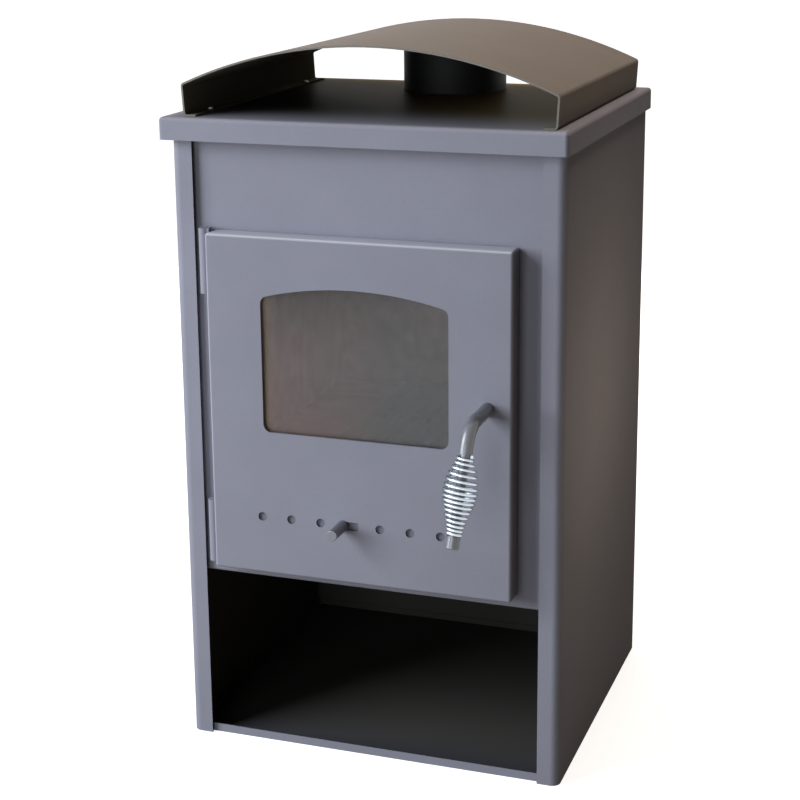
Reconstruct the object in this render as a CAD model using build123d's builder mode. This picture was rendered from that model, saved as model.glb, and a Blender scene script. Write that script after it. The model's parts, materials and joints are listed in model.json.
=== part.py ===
from build123d import *
import math
import os

# Wood stove: a folded steel casing over a log compartment, a firebox behind a glazed door,
# and an arched canopy on top.
# The origin is the middle of the base tray's underside. X runs to the right, Y to the back and Z up.
os.makedirs("parts", exist_ok=True)

# Fits and gaps shared by many pieces
fit_gap = 0.3
weld_gap = 0.2
running_gap = 0.05

# Casing
case_width = 430
case_depth = 385
case_height = 702
sheet = 2
fold_radius = 9.5
front_return = 24
rear_return = 20

# Base tray
base_lip = 9.5
base_setback = 5

# Top plate
top_thickness = 3
rim_drop = 21
rim_gap_left = 5
rim_gap_front = 9
rim_radius = 4
rim_fit = 0.1

# Front panel
front_recess = 7
front_clearance = 1
front_bottom = 196
front_fold = 15
front_fold_radius = 4
doorway_radius = 12

# Firebox, welded behind the front panel
plate = 3
firebox_side_gap = 30
firebox_back_gap = 8
firebox_rise = 10
firebox_headroom = 49
ash_room_height = 119
shelf_thickness = 4

# Grate
grate_width = 116
grate_gap = 8
grate_seat = 8
grate_flange = 6
grate_slots = 6
grate_slot_width = 9
grate_slot_pitch = 18
grate_slot_end = 7
grate_cross_bar = 14

# Firebricks
brick_thickness = 28
brick_gap = 1
brick_headroom = 11
brick_setback = 26
side_bricks = 2
back_bricks = 3
brick_edge = 2

# Log guard
guard_side_gap = 8
guard_height = 22
guard_foot = 22
guard_setback = 20
guard_notches = 7
guard_notch_pitch = 36
guard_notch_width = 12
guard_notch_depth = 10

# Baffle and its rails
baffle_thickness = 8
baffle_depth = 205
smoke_gap = 100
rail_width = 16

# Ash pan
pan_width = 220
pan_length = 270
pan_height = 80
pan_sheet = 1.5
pan_setback = 26
pan_corner = 10
pan_handle_span = 70
pan_handle_reach = 16
pan_handle_rise = 48
pan_handle_wire = 6
pan_handle_bend = 9

# Flue collar
flue_radius = 60
flue_wall = 4
flue_height = 50
flue_neck_step = 1
flue_flange_width = 148
flue_flange_thickness = 4
flue_gasket = 2
flue_bolt_inset = 9
flue_bolt_radius = 3
flue_bolt_head_radius = 5
flue_bolt_head_height = 4

# Canopy
canopy_inset_left = 14
canopy_inset_right = 8
canopy_front_inset = 0.5
canopy_back_inset = 17.5
canopy_leg = 34
canopy_splay = 2
canopy_rise = 44
canopy_bend = 4
canopy_foot = 14
canopy_screw_inset = 48.5

# Back panel
vent_slots = 7
vent_length = 30
vent_width = 5
vent_pitch = 44
vent_low = 226
vent_headroom = 52
back_screw_rows = 5
back_screw_margin = 25.75

# Small screws
screw_radius = 2
screw_head_radius = 4
screw_head_height = 2.2
screw_length = 6

# Door
door_gap_left = 20
door_gap_right = 25
door_bottom = 211.5
door_top = 585
door_lap_left = 17.5
door_lap_right = 13.5
door_lap = 17
door_sheet = 2.5
door_depth = 24
door_standoff = 1.5
door_edge = 3

# Window
window_inset_left = 62
window_inset_right = 67.5
window_rise = 161
window_headroom = 65
window_arch = 14
window_corner = 9
glass_overlap = 13
glass_thickness = 4
gasket_width = 10
gasket_thickness = 1.5

# Glass clips
clip_sheet = 1.5
clip_width = 20
clip_foot = 14
clip_tongue = 9
clip_inset = 14.5

# Rope seal and its retainer
rope_radius = 4
retainer_sheet = 1.5
retainer_lip = 6

# Air slider
air_offset = -6.5
slot_offset = -1.8
slot_height = 9.5
air_rise = 65
air_pitch = 33.7
air_holes_each_side = 3
air_hole_radius = 5
air_travel = 13
slider_width = 22
slider_end = 17.9
slider_thickness = 1.5
air_rail_sheet = 1.5
air_rail_foot = 11
air_rail_lip = 5.8

# Air knob
knob_radius = 6
knob_length = 33
knob_neck_radius = 4
knob_edge = 1
knob_rivet = 2

# Handle
handle_inset = 26
handle_rise = 209
rod_radius = 7
handle_reach = 62
handle_drop = 122.5
handle_bend = 24
handle_tilt = 15
handle_lean = 4.1
grip_start = 27.5
grip_core_radius = 5
tip_edge = 1.5

# Grip spring
spring_wire = 3.2
spring_turns = 16
spring_length = 82
spring_belly_radius = 16.4
spring_belly_shift = 0.82
spring_pitch_wave = 0.15
spring_pitch_swing = 0.07
spring_pitch_lean = 0.1

# Latch
bush_wall = 3
bush_length = 17
shaft_radius = 5
thread_radius = 4
spacer_wall = 3
cam_thickness = 6
cam_radius = 7
cam_reach = 8.5
cam_nose_radius = 2.5
cam_behind_panel = 1
latch_washer_radius = 7
latch_washer_thickness = 1.6
latch_nut_width = 13
latch_nut_height = 6.5
shaft_end = 2.5
keeper_width = 14
keeper_height = 40
keeper_thickness = 6

# Hinges
hinge_out = 10
hinge_side_gap = 1
knuckle_radius = 6
knuckle_length = 35
hinge_low_rise = 2
hinge_high_drop = 68
hinge_pin_radius = 3.5
hinge_washer = 1
hinge_cap = 5
hinge_tab = 8

# Faces and planes that pieces share
case_front = -case_depth / 2
case_back = case_depth / 2
case_side = case_width / 2
inner_side = case_side - sheet
inner_fold = fold_radius - sheet
top_face = case_height + top_thickness
panel_face = case_front + front_recess
panel_back = panel_face + sheet
door_face = panel_face - door_standoff - door_depth
door_inner = door_face + door_sheet
door_left = front_return + door_gap_left - case_side
door_right = case_side - front_return - door_gap_right
doorway_left = door_left + door_lap_left
doorway_right = door_right - door_lap_right
doorway_bottom = door_bottom + door_lap
doorway_top = door_top - door_lap
firebox_side = case_side - firebox_side_gap
firebox_inner = firebox_side - plate
firebox_back = case_back - firebox_back_gap
firebox_depth = firebox_back - panel_back
firebox_bottom = front_bottom + firebox_rise
firebox_top = case_height - firebox_headroom
floor_top = firebox_bottom + plate
roof_under = firebox_top - plate
shelf_height = floor_top + ash_room_height
shelf_top = shelf_height + shelf_thickness
baffle_height = roof_under - smoke_gap - baffle_thickness
brick_back_face = firebox_back - plate - brick_gap
brick_front_face = brick_back_face - brick_thickness
guard_front = panel_back + guard_setback
grate_length = brick_front_face - guard_front - guard_foot - 2 * grate_gap - 2 * grate_seat
grate_middle = brick_front_face - grate_gap - grate_seat - grate_length / 2
flue_y = firebox_back - flue_radius
flue_neck = flue_radius - flue_neck_step
flue_flange_depth = flue_radius + flue_flange_width / 2
flue_flange_y = firebox_back - flue_flange_depth / 2
flue_bolt_columns = flue_flange_width - 2 * flue_bolt_inset
flue_bolt_rows = flue_flange_depth - 2 * flue_bolt_inset
canopy_side = (case_width - canopy_inset_left - canopy_inset_right) / 2
canopy_centre = (canopy_inset_left - canopy_inset_right) / 2
canopy_depth = case_depth - canopy_front_inset - canopy_back_inset
canopy_middle = case_front + canopy_front_inset + canopy_depth / 2
canopy_screw_column = canopy_side - canopy_splay - canopy_bend - screw_head_radius
canopy_screw_pitch = canopy_depth - 2 * canopy_screw_inset
hinge_x = door_left - hinge_side_gap - knuckle_radius
hinge_y = panel_face - hinge_out
hinge_low = door_bottom + hinge_low_rise
hinge_high = door_top - hinge_high_drop
window_left = door_left + window_inset_left
window_right = door_right - window_inset_right
window_middle = (window_left + window_right) / 2
window_bottom = door_bottom + window_rise
window_side_top = door_top - window_headroom
air_middle = window_middle + air_offset
slot_middle = air_middle + slot_offset
air_height = door_bottom + air_rise
handle_x = door_right - handle_inset
handle_z = door_bottom + handle_rise


def front_plane(y):
    return Plane(origin=(0, y, 0), x_dir=(1, 0, 0), z_dir=(0, -1, 0))


def save(piece, name):
    piece.part.label = name
    export_step(piece.part, f"parts/{name}.step")


# Base tray, with an upturned lip all round
with BuildPart() as base_tray:
    tray_front = case_front + base_setback
    tray_back = case_back - sheet - weld_gap
    with BuildSketch(Plane.XY):
        with Locations((0, (tray_front + tray_back) / 2)):
            RectangleRounded(2 * (inner_side - weld_gap), tray_back - tray_front, inner_fold - weld_gap)
    extrude(amount=base_lip)
    offset(amount=-sheet, openings=base_tray.faces().sort_by(Axis.Z)[-1])
save(base_tray, "base_tray")


# Side panels, folded to a return at the front and at the back
def side_panel(side):
    with BuildPart() as panel:
        with BuildSketch(Plane.XY):
            with BuildLine():
                bend = FilletPolyline(
                    (side * (case_side - front_return), case_front),
                    (side * case_side, case_front),
                    (side * case_side, case_back),
                    (side * (case_side - rear_return), case_back),
                    radius=fold_radius,
                )
                offset(bend, amount=sheet, side=Side.LEFT if side > 0 else Side.RIGHT)
            make_face()
        extrude(amount=case_height)
        with BuildSketch(front_plane(case_back)):
            with Locations((side * screw_column, back_screw_middle)):
                with GridLocations(0, back_screw_pitch, 1, back_screw_rows):
                    Circle(screw_radius + fit_gap)
        extrude(amount=2 * sheet, both=True, mode=Mode.SUBTRACT)
    return panel


screw_column = case_side - rear_return + screw_head_radius + sheet
back_screw_middle = (base_lip + case_height - rim_drop) / 2
back_screw_pitch = 2 * (back_screw_middle - base_lip - back_screw_margin) / (back_screw_rows - 1)
for side, name in ((-1, "side_panel_left"), (1, "side_panel_right")):
    save(side_panel(side), name)


# Back panel, screwed inside the rear returns, with two rows of vent slots
with BuildPart() as back_panel:
    back_bottom = base_lip + fit_gap
    back_top = case_height - weld_gap
    with BuildSketch(front_plane(case_back - sheet)):
        with Locations((0, (back_bottom + back_top) / 2)):
            Rectangle(2 * (case_side - fold_radius - fit_gap), back_top - back_bottom)
        with Locations((0, back_screw_middle)):
            with GridLocations(2 * screw_column, back_screw_pitch, 2, back_screw_rows):
                Circle(screw_radius + fit_gap, mode=Mode.SUBTRACT)
        for height in (vent_low, case_height - vent_headroom):
            with Locations((0, height)):
                with GridLocations(vent_pitch, 0, vent_slots, 1):
                    SlotOverall(vent_length, vent_width, mode=Mode.SUBTRACT)
    extrude(amount=sheet)
save(back_panel, "back_panel")


with BuildPart() as back_screws:
    with BuildSketch(front_plane(case_back)):
        with Locations((0, back_screw_middle)):
            with GridLocations(2 * screw_column, back_screw_pitch, 2, back_screw_rows):
                Circle(screw_radius)
    extrude(amount=screw_length)
    with BuildSketch(front_plane(case_back)):
        with Locations((0, back_screw_middle)):
            with GridLocations(2 * screw_column, back_screw_pitch, 2, back_screw_rows):
                Circle(screw_head_radius)
    extrude(amount=-screw_head_height)
save(back_screws, "back_screws")


# Front panel, with the doorway and a return that carries the compartment's ceiling
with BuildPart() as front_panel:
    panel_half = inner_side - front_clearance
    with BuildSketch(Plane.YZ.offset(-panel_half)):
        with BuildLine():
            bend = FilletPolyline(
                (panel_face, case_height - weld_gap),
                (panel_face, front_bottom),
                (panel_back + front_fold, front_bottom),
                radius=front_fold_radius,
            )
            offset(bend, amount=sheet, side=Side.LEFT)
        make_face()
    extrude(amount=2 * panel_half)
    with BuildSketch(front_plane(panel_back)):
        with Locations(((doorway_left + doorway_right) / 2, (doorway_bottom + doorway_top) / 2)):
            RectangleRounded(doorway_right - doorway_left, doorway_top - doorway_bottom, doorway_radius)
    extrude(amount=sheet, mode=Mode.SUBTRACT)
save(front_panel, "front_panel")


# Ceiling of the log compartment
with BuildPart() as compartment_ceiling:
    ceiling_front = panel_back + front_fold_radius
    ceiling_back = case_back - fold_radius
    with BuildSketch(Plane.XY.offset(front_bottom + sheet)):
        with Locations((0, (ceiling_front + ceiling_back) / 2)):
            Rectangle(2 * panel_half, ceiling_back - ceiling_front)
    extrude(amount=sheet)
save(compartment_ceiling, "compartment_ceiling")


# Firebox plates
firebox_middle = (panel_back + firebox_back) / 2
wall_height = roof_under - floor_top

with BuildPart() as firebox_floor:
    with BuildSketch(Plane.XY.offset(firebox_bottom)):
        with Locations((0, firebox_middle)):
            Rectangle(2 * firebox_side, firebox_depth)
    extrude(amount=plate)
save(firebox_floor, "firebox_floor")

for side, name in ((-1, "firebox_left_wall"), (1, "firebox_right_wall")):
    with BuildPart() as firebox_wall:
        with BuildSketch(Plane.XY.offset(floor_top)):
            with Locations((side * (firebox_side - plate / 2), firebox_middle - plate / 2)):
                Rectangle(plate, firebox_depth - plate)
        extrude(amount=wall_height)
    save(firebox_wall, name)

with BuildPart() as firebox_back_wall:
    with BuildSketch(Plane.XY.offset(floor_top)):
        with Locations((0, firebox_back - plate / 2)):
            Rectangle(2 * firebox_side, plate)
    extrude(amount=wall_height)
save(firebox_back_wall, "firebox_back_wall")

with BuildPart() as firebox_roof:
    with BuildSketch(Plane.XY.offset(roof_under)):
        with Locations((0, firebox_middle)):
            Rectangle(2 * firebox_side, firebox_depth)
        with Locations((0, flue_y)):
            Circle(flue_neck - flue_wall, mode=Mode.SUBTRACT)
        with Locations((0, flue_flange_y)):
            with GridLocations(flue_bolt_columns, flue_bolt_rows, 2, 2):
                Circle(flue_bolt_radius + fit_gap, mode=Mode.SUBTRACT)
    extrude(amount=plate)
save(firebox_roof, "firebox_roof")


# Shelf across the firebox, with the grate sunk into it
with BuildPart() as shelf:
    with BuildSketch(Plane.XY.offset(shelf_height)):
        with Locations((0, (panel_back + firebox_back - plate) / 2)):
            Rectangle(2 * firebox_inner, firebox_depth - plate)
        with Locations((0, grate_middle)):
            Rectangle(grate_width, grate_length, mode=Mode.SUBTRACT)
    extrude(amount=shelf_thickness)
save(shelf, "shelf")

with BuildPart() as grate:
    with BuildSketch(Plane.XY.offset(shelf_top)):
        with Locations((0, grate_middle)):
            RectangleRounded(grate_width + 2 * grate_seat, grate_length + 2 * grate_seat, grate_seat)
    extrude(amount=grate_flange)
    with BuildSketch(Plane.XY.offset(shelf_top)):
        with Locations((0, grate_middle)):
            Rectangle(grate_width - 2 * fit_gap, grate_length - 2 * fit_gap)
    extrude(amount=-grate_seat)
    with BuildSketch(Plane.XY.offset(shelf_top)):
        grate_slot_length = grate_length / 2 - grate_slot_end - grate_cross_bar / 2
        with Locations((0, grate_middle)):
            with GridLocations(grate_slot_pitch, grate_slot_length + grate_cross_bar, grate_slots, 2):
                SlotOverall(grate_slot_length, grate_slot_width, rotation=90)
    extrude(amount=2 * grate_seat, both=True, mode=Mode.SUBTRACT)
save(grate, "grate")


# Firebricks, standing on the shelf along both sides and the back
brick_height = baffle_height - plate - brick_headroom - shelf_top
side_brick_pitch = (brick_front_face - panel_back - brick_setback) / side_bricks


def firebrick(width, depth):
    with BuildPart(mode=Mode.PRIVATE) as brick:
        Box(width, depth, brick_height, align=(Align.CENTER, Align.CENTER, Align.MIN))
        chamfer(brick.edges(), brick_edge)
    return brick.part


for side, name in ((-1, "firebricks_left"), (1, "firebricks_right")):
    with BuildPart() as firebricks_side:
        column = side * (firebox_inner - brick_gap - brick_thickness / 2)
        row = brick_front_face - brick_gap / 2 - side_brick_pitch * side_bricks / 2
        with Locations((column, row, shelf_top)):
            with GridLocations(0, side_brick_pitch, 1, side_bricks):
                add(firebrick(brick_thickness, side_brick_pitch - brick_gap))
    save(firebricks_side, name)

with BuildPart() as firebricks_back:
    back_brick_pitch = 2 * (firebox_inner - brick_gap) / back_bricks
    with Locations((0, brick_back_face - brick_thickness / 2, shelf_top)):
        with GridLocations(back_brick_pitch, 0, back_bricks, 1):
            add(firebrick(back_brick_pitch - brick_gap, brick_thickness))
save(firebricks_back, "firebricks_back")


# Log guard, a low upright plate with a notched top edge and a foot on the shelf
guard_width = 2 * (firebox_inner - brick_gap - brick_thickness - guard_side_gap)
with BuildPart() as log_guard:
    with BuildSketch(Plane.YZ.offset(-guard_width / 2)):
        with BuildLine():
            bend = FilletPolyline(
                (guard_front + guard_foot, shelf_top),
                (guard_front, shelf_top),
                (guard_front, shelf_top + guard_height),
                radius=2 * sheet,
            )
            offset(bend, amount=sheet, side=Side.RIGHT)
        make_face()
    extrude(amount=guard_width)
    with BuildSketch(front_plane(guard_front + sheet)):
        with Locations((0, shelf_top + guard_height)):
            with GridLocations(guard_notch_pitch, 0, guard_notches, 1):
                SlotOverall(2 * guard_notch_depth, guard_notch_width, rotation=90)
    extrude(amount=sheet, mode=Mode.SUBTRACT)
save(log_guard, "log_guard")


# Baffle plate, resting on two rails welded to the side walls
with BuildPart() as baffle_rails:
    with BuildSketch(Plane.XY.offset(baffle_height - plate)):
        with Locations((0, brick_back_face - baffle_depth / 2)):
            with GridLocations(2 * firebox_inner - rail_width, 0, 2, 1):
                Rectangle(rail_width, baffle_depth)
    extrude(amount=plate)
save(baffle_rails, "baffle_rails")

with BuildPart() as baffle:
    with BuildSketch(Plane.XY.offset(baffle_height)):
        with Locations((0, brick_back_face - baffle_depth / 2)):
            Rectangle(2 * (firebox_inner - brick_gap), baffle_depth)
    extrude(amount=baffle_thickness)
    chamfer(baffle.edges(), fit_gap)
save(baffle, "baffle")


# Ash pan under the grate, with a wire handle
with BuildPart() as ash_pan:
    pan_front = panel_back + pan_setback
    with BuildSketch(Plane.XY.offset(floor_top)):
        with Locations((0, pan_front + pan_length / 2)):
            RectangleRounded(pan_width, pan_length, pan_corner)
    extrude(amount=pan_height)
    offset(amount=-pan_sheet, openings=ash_pan.faces().sort_by(Axis.Z)[-1])
save(ash_pan, "ash_pan")

with BuildPart() as ash_pan_handle:
    wire_height = floor_top + pan_handle_rise
    half_span = pan_handle_span / 2
    with BuildLine() as wire_path:
        FilletPolyline(
            (-half_span, pan_front, wire_height),
            (-half_span, pan_front - pan_handle_reach, wire_height),
            (half_span, pan_front - pan_handle_reach, wire_height),
            (half_span, pan_front, wire_height),
            radius=pan_handle_bend,
        )
    with BuildSketch(Plane(origin=wire_path.wires()[0] @ 0, z_dir=wire_path.wires()[0] % 0)):
        Circle(pan_handle_wire / 2)
    sweep(path=wire_path.wires()[0])
save(ash_pan_handle, "ash_pan_handle")


# Top plate, one folded sheet with a rim all round
with BuildPart() as top_plate:
    rim_left = -case_side - rim_gap_left - top_thickness
    rim_right = case_side + rim_radius + rim_fit
    rim_front = case_front - rim_gap_front - top_thickness
    rim_back = case_back + rim_radius + rim_fit
    with Locations(((rim_left + rim_right) / 2, (rim_front + rim_back) / 2, case_height - rim_drop)):
        Box(
            rim_right - rim_left,
            rim_back - rim_front,
            rim_drop + top_thickness,
            align=(Align.CENTER, Align.CENTER, Align.MIN),
        )
    fillet(top_plate.edges().filter_by(Axis.Z), rim_radius)
    fillet(top_plate.faces().sort_by(Axis.Z)[-1].edges(), rim_radius)
    offset(amount=-top_thickness, openings=top_plate.faces().sort_by(Axis.Z)[0])
    with BuildSketch(Plane.XY.offset(case_height)):
        with Locations((0, flue_y)):
            Circle(flue_neck + fit_gap)
        with Locations((canopy_centre, canopy_middle)):
            with GridLocations(2 * canopy_screw_column, canopy_screw_pitch, 2, 2):
                Circle(screw_radius + fit_gap)
    extrude(amount=top_thickness, mode=Mode.SUBTRACT)
save(top_plate, "top_plate")


# Flue collar on a square flange, bolted through the firebox roof on a gasket
collar_foot = firebox_top + flue_gasket
bolt_top = collar_foot + flue_flange_thickness


def flange_outline():
    with BuildSketch(mode=Mode.PRIVATE) as outline:
        with Locations((0, flue_flange_y)):
            RectangleRounded(flue_flange_width, flue_flange_depth, flue_bolt_inset)
            with GridLocations(flue_bolt_columns, flue_bolt_rows, 2, 2):
                Circle(flue_bolt_radius + fit_gap, mode=Mode.SUBTRACT)
    return outline.sketch


with BuildPart() as flue_collar:
    with BuildSketch(Plane.XY.offset(collar_foot)):
        add(flange_outline())
    extrude(amount=flue_flange_thickness)
    with BuildSketch(Plane.XY.offset(collar_foot)):
        with Locations((0, flue_y)):
            Circle(flue_neck)
    extrude(amount=top_face - collar_foot)
    with BuildSketch(Plane.XY.offset(top_face)):
        with Locations((0, flue_y)):
            Circle(flue_radius)
    extrude(amount=flue_height)
    chamfer(flue_collar.faces().sort_by(Axis.Z)[-1].edges(), flue_neck_step)
    with BuildSketch(Plane.XY.offset(collar_foot)):
        with Locations((0, flue_y)):
            Circle(flue_neck - flue_wall)
    extrude(amount=top_face + flue_height - collar_foot, mode=Mode.SUBTRACT)
save(flue_collar, "flue_collar")

with BuildPart() as flue_seal:
    with BuildSketch(Plane.XY.offset(firebox_top)):
        add(flange_outline())
        with Locations((0, flue_y)):
            Circle(flue_neck - flue_wall, mode=Mode.SUBTRACT)
    extrude(amount=flue_gasket)
save(flue_seal, "flue_seal")

with BuildPart() as flue_bolts:
    with BuildSketch(Plane.XY.offset(roof_under - flue_bolt_head_height)):
        with Locations((0, flue_flange_y)):
            with GridLocations(flue_bolt_columns, flue_bolt_rows, 2, 2):
                Circle(flue_bolt_radius)
    extrude(amount=bolt_top - roof_under + flue_bolt_head_height)
    for height in (bolt_top, roof_under - flue_bolt_head_height):
        with BuildSketch(Plane.XY.offset(height)):
            with Locations((0, flue_flange_y)):
                with GridLocations(flue_bolt_columns, flue_bolt_rows, 2, 2):
                    RegularPolygon(flue_bolt_head_radius, 6, major_radius=False)
        extrude(amount=flue_bolt_head_height)
save(flue_bolts, "flue_bolts")


# Canopy, one arched sheet on two short legs with inward feet
with BuildPart() as canopy:
    foot_x = canopy_side - canopy_splay
    arch_spring = top_face + canopy_leg
    with BuildSketch(front_plane(canopy_middle + canopy_depth / 2)) as canopy_profile:
        with BuildLine():
            Polyline(
                (canopy_centre - canopy_side, arch_spring),
                (canopy_centre - foot_x, top_face),
                (canopy_centre + foot_x, top_face),
                (canopy_centre + canopy_side, arch_spring),
            )
            ThreePointArc(
                (canopy_centre - canopy_side, arch_spring),
                (canopy_centre, arch_spring + canopy_rise),
                (canopy_centre + canopy_side, arch_spring),
            )
        make_face()
        fillet(canopy_profile.vertices(), canopy_bend)
        offset(amount=-sheet, mode=Mode.SUBTRACT)
        with Locations((canopy_centre, top_face)):
            Rectangle(2 * (foot_x - canopy_foot), 4 * sheet, mode=Mode.SUBTRACT)
    extrude(amount=canopy_depth)
    with BuildSketch(Plane.XY.offset(top_face)):
        with Locations((canopy_centre, canopy_middle)):
            with GridLocations(2 * canopy_screw_column, canopy_screw_pitch, 2, 2):
                Circle(screw_radius + fit_gap)
    extrude(amount=sheet, mode=Mode.SUBTRACT)
save(canopy, "canopy")

with BuildPart() as canopy_screws:
    with BuildSketch(Plane.XY.offset(top_face + sheet)):
        with Locations((canopy_centre, canopy_middle)):
            with GridLocations(2 * canopy_screw_column, canopy_screw_pitch, 2, 2):
                Circle(screw_radius)
    extrude(amount=-screw_length)
    with BuildSketch(Plane.XY.offset(top_face + sheet)):
        with Locations((canopy_centre, canopy_middle)):
            with GridLocations(2 * canopy_screw_column, canopy_screw_pitch, 2, 2):
                Circle(screw_head_radius)
    extrude(amount=screw_head_height)
save(canopy_screws, "canopy_screws")


# Hinges: fixed lower knuckles on the front panel, door knuckles above them, and a pin and a washer in each
def knuckles(bottom, tab_width, tab_length, toward_door):
    bore_bottom = bottom if toward_door else bottom + hinge_cap
    bore_radius = hinge_pin_radius + (running_gap if toward_door else 0)
    with BuildPart() as pair:
        for base in (hinge_low, hinge_high):
            with BuildSketch(Plane.XY.offset(base + bottom)):
                with Locations((hinge_x, hinge_y)):
                    Circle(knuckle_radius)
                if toward_door:
                    with Locations((hinge_x + tab_length / 2, hinge_y)):
                        Rectangle(tab_length, tab_width)
                else:
                    with Locations((hinge_x, hinge_y + tab_length / 2)):
                        Rectangle(tab_width, tab_length)
            extrude(amount=knuckle_length)
            with BuildSketch(Plane.XY.offset(base + bore_bottom)):
                with Locations((hinge_x, hinge_y)):
                    Circle(bore_radius)
            extrude(amount=knuckle_length - hinge_cap, mode=Mode.SUBTRACT)
    return pair


door_knuckle_bottom = knuckle_length + hinge_washer + running_gap
save(knuckles(0, hinge_tab, hinge_out, False), "hinge_fixed_knuckles")
save(knuckles(door_knuckle_bottom, hinge_tab, door_left - hinge_x, True), "hinge_door_knuckles")

with BuildPart() as hinge_pins:
    pin_top = door_knuckle_bottom + knuckle_length - hinge_cap - fit_gap
    for base in (hinge_low, hinge_high):
        with BuildSketch(Plane.XY.offset(base + hinge_cap)):
            with Locations((hinge_x, hinge_y)):
                Circle(hinge_pin_radius)
        extrude(amount=pin_top - hinge_cap)
save(hinge_pins, "hinge_pins")

with BuildPart() as hinge_washers:
    for base in (hinge_low, hinge_high):
        with BuildSketch(Plane.XY.offset(base + knuckle_length)):
            with Locations((hinge_x, hinge_y)):
                Circle(knuckle_radius)
                Circle(hinge_pin_radius + running_gap, mode=Mode.SUBTRACT)
        extrude(amount=hinge_washer)
save(hinge_washers, "hinge_washers")


# Door skin, one folded sheet with its window, air holes and the slot for the air knob
def window_outline(grow):
    left = window_left - grow
    right = window_right + grow
    side_top = window_side_top + grow
    with BuildSketch(mode=Mode.PRIVATE) as outline:
        with BuildLine():
            Polyline(
                (left, side_top),
                (left, window_bottom - grow),
                (right, window_bottom - grow),
                (right, side_top),
            )
            ThreePointArc((left, side_top), (window_middle, side_top + window_arch), (right, side_top))
        make_face()
        fillet(outline.vertices(), window_corner)
    return outline.sketch


hole_steps = [k for k in range(-air_holes_each_side, air_holes_each_side + 1) if k]
hole_columns = [air_middle + air_pitch * k for k in hole_steps]
door_middle_x = (door_left + door_right) / 2
door_middle_z = (door_bottom + door_top) / 2
with BuildPart() as door_skin:
    with Locations((door_middle_x, door_face + door_depth / 2, door_middle_z)):
        Box(door_right - door_left, door_depth, door_top - door_bottom)
    fillet(door_skin.edges().filter_by(Axis.Y), door_edge)
    fillet(door_skin.faces().sort_by(Axis.Y)[0].edges(), door_edge)
    offset(amount=-door_sheet, openings=door_skin.faces().sort_by(Axis.Y)[-1])
    with BuildSketch(front_plane(door_inner)):
        add(window_outline(0))
        with Locations(*[(x, air_height) for x in hole_columns]):
            Circle(air_hole_radius)
        with Locations((slot_middle, air_height)):
            slot_length = 2 * knob_neck_radius + air_travel + 2 * fit_gap
            Rectangle(slot_length, slot_height)
        with Locations((handle_x, handle_z)):
            Circle(rod_radius + running_gap)
    extrude(amount=door_sheet, mode=Mode.SUBTRACT)
save(door_skin, "door_skin")


# Window: gasket, ceramic glass, and the clips and studs that hold it
with BuildPart() as window_gasket:
    with BuildSketch(front_plane(door_inner + gasket_thickness)):
        add(window_outline(glass_overlap - fit_gap))
        add(window_outline(glass_overlap - gasket_width), mode=Mode.SUBTRACT)
    extrude(amount=gasket_thickness)
save(window_gasket, "window_gasket")

glass_front = door_inner + gasket_thickness
glass_back = glass_front + glass_thickness
with BuildPart() as window_glass:
    with BuildSketch(front_plane(glass_back)):
        add(window_outline(glass_overlap))
    extrude(amount=glass_thickness)
save(window_glass, "window_glass")

clip_edge = (window_right - window_left) / 2 + glass_overlap + fit_gap
window_centre_z = (window_bottom + window_side_top) / 2
clip_spread = (window_side_top - window_bottom) / 2 - clip_inset
clip_spots = [(side, row) for side in (-1, 1) for row in (-clip_spread, clip_spread)]
with BuildPart() as glass_clips:
    for side, row in clip_spots:
        with BuildSketch(Plane.XY.offset(window_centre_z + row - clip_width / 2)):
            with BuildLine():
                bend = Polyline(
                    (window_middle + side * (clip_edge + clip_foot), door_inner),
                    (window_middle + side * clip_edge, door_inner),
                    (window_middle + side * clip_edge, glass_back),
                    (window_middle + side * (clip_edge - clip_tongue), glass_back),
                )
                offset(bend, amount=clip_sheet, side=Side.LEFT if side < 0 else Side.RIGHT)
            make_face()
        extrude(amount=clip_width)
    with BuildSketch(front_plane(door_inner + clip_sheet)):
        with Locations((window_middle, window_centre_z)):
            with GridLocations(2 * clip_edge + clip_foot + clip_sheet, 2 * clip_spread, 2, 2):
                Circle(screw_radius)
    extrude(amount=clip_sheet, mode=Mode.SUBTRACT)
save(glass_clips, "glass_clips")

with BuildPart() as clip_studs:
    with BuildSketch(front_plane(door_inner + clip_sheet + screw_head_height + clip_sheet)):
        with Locations((window_middle, window_centre_z)):
            with GridLocations(2 * clip_edge + clip_foot + clip_sheet, 2 * clip_spread, 2, 2):
                Circle(screw_radius)
    extrude(amount=screw_head_height + 2 * clip_sheet)
    with BuildSketch(front_plane(door_inner + clip_sheet + screw_head_height)):
        with Locations((window_middle, window_centre_z)):
            with GridLocations(2 * clip_edge + clip_foot + clip_sheet, 2 * clip_spread, 2, 2):
                RegularPolygon(screw_head_radius, 6)
    extrude(amount=screw_head_height)
save(clip_studs, "clip_studs")


# Rope seal round the door's edge, in a retainer welded inside the skin
rope_width = 2 * rope_radius
rope_back = panel_face - fit_gap
rope_front = rope_back - rope_width
inside_width = door_right - door_left - 2 * door_sheet
inside_height = door_top - door_bottom - 2 * door_sheet


def door_ring(start, width, corner, inner_corner):
    with BuildSketch(mode=Mode.PRIVATE) as ring:
        with Locations((door_middle_x, door_middle_z)):
            RectangleRounded(inside_width - 2 * start, inside_height - 2 * start, corner)
            inner = start + width
            RectangleRounded(
                inside_width - 2 * inner,
                inside_height - 2 * inner,
                inner_corner,
                mode=Mode.SUBTRACT,
            )
    return ring.sketch


with BuildPart() as door_rope:
    with BuildSketch(front_plane(rope_back)):
        add(door_ring(0, rope_width, rope_width + rope_radius, rope_radius))
    extrude(amount=rope_width)
    fillet(door_rope.edges().filter_by(Plane.XZ), rope_radius - fit_gap)
save(door_rope, "door_rope")

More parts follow.
